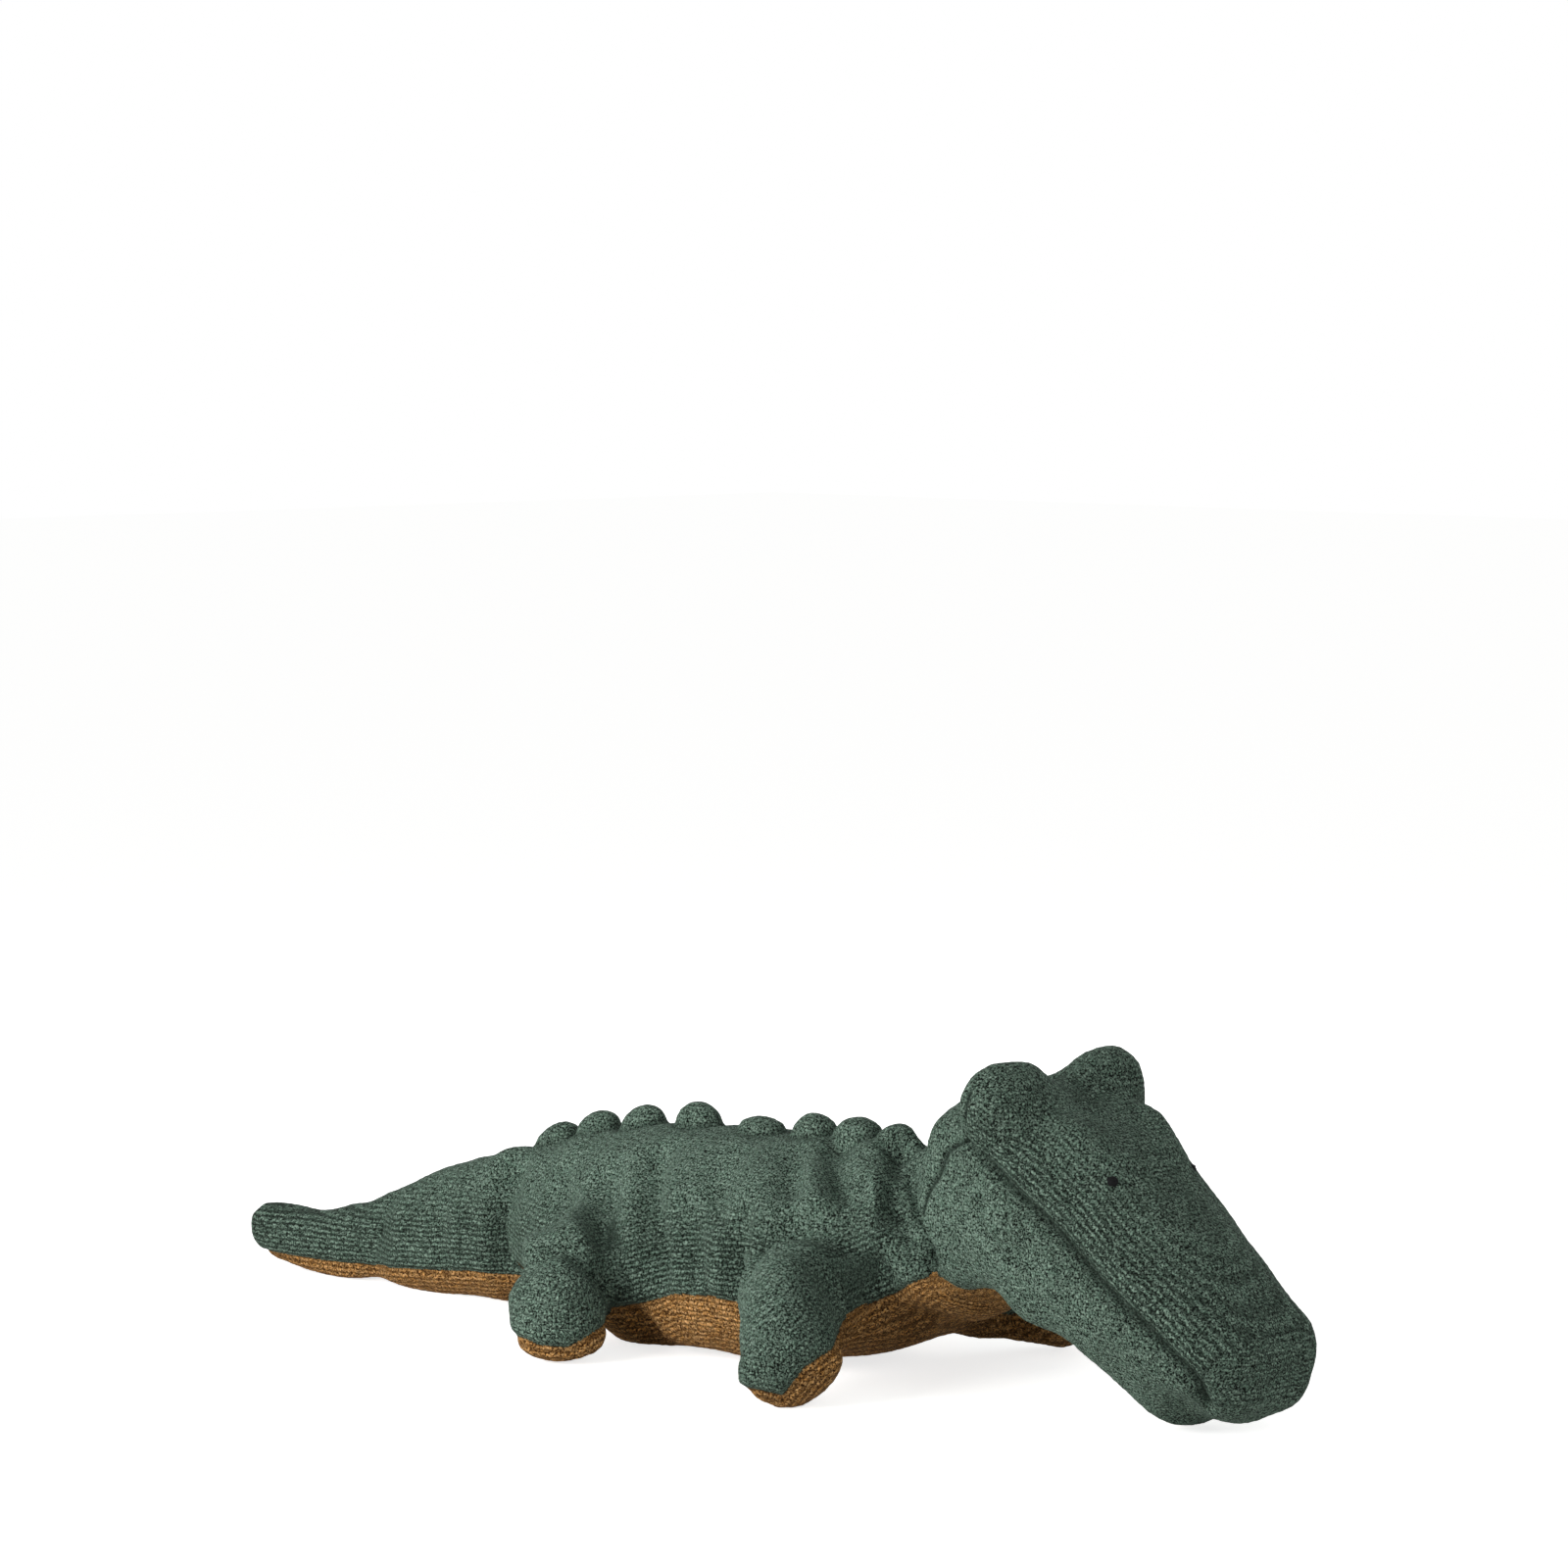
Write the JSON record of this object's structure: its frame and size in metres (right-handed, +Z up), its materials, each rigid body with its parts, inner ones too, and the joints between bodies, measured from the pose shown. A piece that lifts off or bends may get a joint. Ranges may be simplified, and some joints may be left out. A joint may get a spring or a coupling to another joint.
{
  "type": "plush crocodile",
  "caption": "Plush crocodile in green and ochre terry cloth, lying with its long head on the ground, with stuffed back spikes, eye ridges, short legs and a tapering tail.",
  "frame": {"origin": "on the ground under the middle of the part's box", "axes": "+X from tail to head, +Y to its left side, +Z up"},
  "size_m": [0.4718, 0.17, 0.1136],
  "materials": {
    "green_terry": "matte",
    "ochre_terry": "matte",
    "stuffing": "matte",
    "black_thread": "satin"
  },
  "bodies": {
    "trunk": {"trunk_back": "green_terry", "trunk_belly": "ochre_terry", "trunk_stuffing": "stuffing", "spike_1": "green_terry", "spike_2": "green_terry", "spike_3": "green_terry", "spike_4": "green_terry", "spike_5": "green_terry", "spike_6": "green_terry", "spike_7": "green_terry", "spike_8": "green_terry"},
    "neck": {"neck_back": "green_terry", "neck_belly": "ochre_terry", "neck_stuffing": "stuffing"},
    "head": {"head_top_panel": "green_terry", "chin_panel": "ochre_terry", "head_back_panel": "green_terry", "head_side_left": "green_terry", "head_side_right": "green_terry", "head_stuffing": "stuffing", "eye_ridge_left": "green_terry", "eye_ridge_right": "green_terry", "eye_left": "black_thread", "eye_right": "black_thread"},
    "tail_base": {"tail_base_upper": "green_terry", "tail_base_under": "ochre_terry", "tail_base_stuffing": "stuffing"},
    "tail_tip": {"tail_tip_upper": "green_terry", "tail_tip_under": "ochre_terry", "tail_tip_stuffing": "stuffing"},
    "leg_front_left": {"leg_front_left_upper": "green_terry", "leg_front_left_sole": "ochre_terry", "leg_front_left_stuffing": "stuffing"},
    "leg_front_right": {"leg_front_right_upper": "green_terry", "leg_front_right_sole": "ochre_terry", "leg_front_right_stuffing": "stuffing"},
    "leg_rear_left": {"leg_rear_left_upper": "green_terry", "leg_rear_left_sole": "ochre_terry", "leg_rear_left_stuffing": "stuffing"},
    "leg_rear_right": {"leg_rear_right_upper": "green_terry", "leg_rear_right_sole": "ochre_terry", "leg_rear_right_stuffing": "stuffing"}
  },
  "joints": [
    {"name": "neck_turn", "type": "hinge", "parent": "trunk", "child": "neck", "pos_m": [0.09892, 0, 0.047], "axis": [0, 0, 1], "range_deg": [-20, 20], "stiffness_Nm_per_rad": 0.3},
    {"name": "head_nod", "type": "hinge", "parent": "neck", "child": "head", "pos_m": [0.09892, 0, 0.047], "axis": [0, -1, 0], "range_deg": [-12, 22], "stiffness_Nm_per_rad": 0.35},
    {"name": "tail_swing", "type": "hinge", "parent": "trunk", "child": "tail_base", "pos_m": [-0.09609, 0, 0.029], "axis": [0, 0, 1], "range_deg": [-25, 25], "stiffness_Nm_per_rad": 0.12},
    {"name": "tail_curl", "type": "hinge", "parent": "tail_base", "child": "tail_tip", "pos_m": [-0.1729, -0.01354, 0.016], "axis": [-0.1736, 0.9848, 0], "range_deg": [-5, 35], "stiffness_Nm_per_rad": 0.05},
    {"name": "leg_front_left_swing", "type": "hinge", "parent": "trunk", "child": "leg_front_left", "pos_m": [0.06291, 0.04, 0.03159], "axis": [-0.2079, -0.9781, 0], "range_deg": [-25, 35], "stiffness_Nm_per_rad": 0.06},
    {"name": "leg_front_right_swing", "type": "hinge", "parent": "trunk", "child": "leg_front_right", "pos_m": [0.06291, -0.04, 0.03159], "axis": [0.2079, -0.9781, 0], "range_deg": [-25, 35], "stiffness_Nm_per_rad": 0.06},
    {"name": "leg_rear_left_swing", "type": "hinge", "parent": "trunk", "child": "leg_rear_left", "pos_m": [-0.03508, 0.0355, 0.03159], "axis": [0.1736, -0.9848, 0], "range_deg": [-25, 35], "stiffness_Nm_per_rad": 0.06},
    {"name": "leg_rear_right_swing", "type": "hinge", "parent": "trunk", "child": "leg_rear_right", "pos_m": [-0.03508, -0.0355, 0.03159], "axis": [-0.1736, -0.9848, 0], "range_deg": [-25, 35], "stiffness_Nm_per_rad": 0.06}
  ]
}
